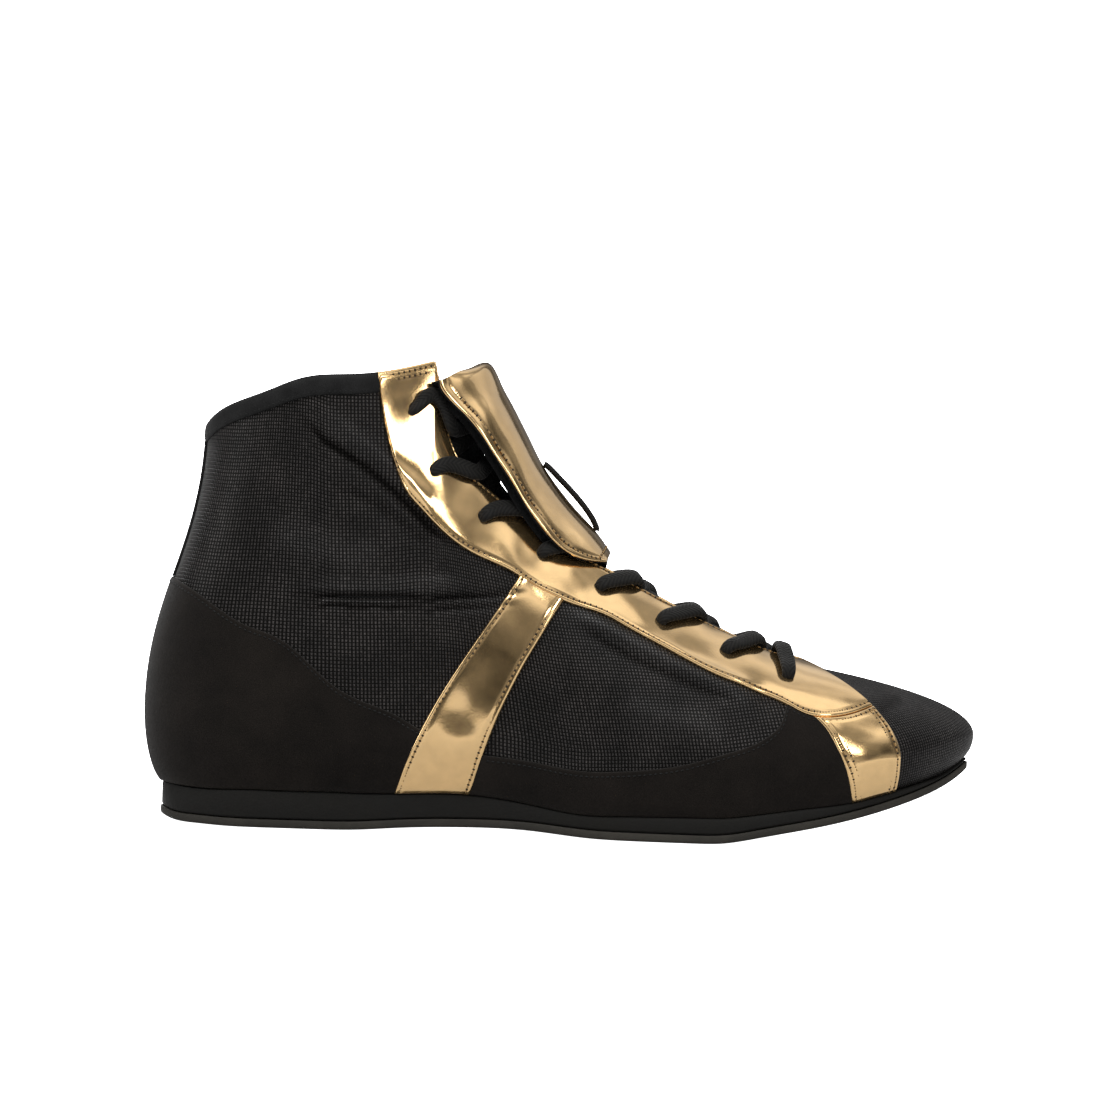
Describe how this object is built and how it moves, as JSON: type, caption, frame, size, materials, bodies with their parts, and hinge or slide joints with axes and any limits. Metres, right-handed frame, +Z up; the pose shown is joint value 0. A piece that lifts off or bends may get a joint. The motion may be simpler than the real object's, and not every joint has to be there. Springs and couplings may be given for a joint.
{
  "type": "wrestling shoe",
  "caption": "High-top wrestling shoe for the right foot: mesh upper with suede heel and forefoot panels, gold patent eyestay, toe band and folded tongue flap, crossed laces, thin rubber sole",
  "frame": {"origin": "centre of the underside of the shoe's bounding box, on the floor", "axes": "+X to the toe, +Y to the inner (medial) side, +Z up; the outer (lateral) side faces -Y"},
  "size_m": [0.2844, 0.0958, 0.1612],
  "materials": {
    "outsole_rubber": "dark grey rubber, slightly worn",
    "sole_rubber": "matt black rubber side wall",
    "sock": "black brushed lining",
    "upper_mesh": "charcoal open mesh with a fine square grid",
    "binding": "smooth black synthetic edging",
    "suede": "black suede with a short nap",
    "gold_patent": "gold patent synthetic leather, high gloss",
    "tongue_fabric": "black padded lining fabric",
    "webbing": "black woven webbing",
    "lace": "black flat woven lace"
  },
  "bodies": {
    "root": {"outsole": "outsole_rubber", "midsole": "sole_rubber", "insole": "sock", "upper": "upper_mesh", "collar_binding": "binding", "backstay": "binding", "heel_counter": "suede", "mudguard_lateral": "suede", "mudguard_medial": "suede", "saddle_strap_lateral": "gold_patent", "saddle_strap_medial": "gold_patent", "facing_lateral": "gold_patent", "facing_medial": "gold_patent", "band_lateral": "gold_patent", "band_medial": "gold_patent", "tongue": "tongue_fabric", "tongue_flap": "gold_patent", "flap_pad": "tongue_fabric", "flap_loop": "webbing", "lace_bar": "lace", "lace_cross_1": "lace", "lace_cross_2": "lace", "lace_cross_3": "lace", "lace_cross_4": "lace", "lace_cross_5": "lace", "lace_cross_6": "lace", "lace_cross_7": "lace"}
  },
  "joints": []
}
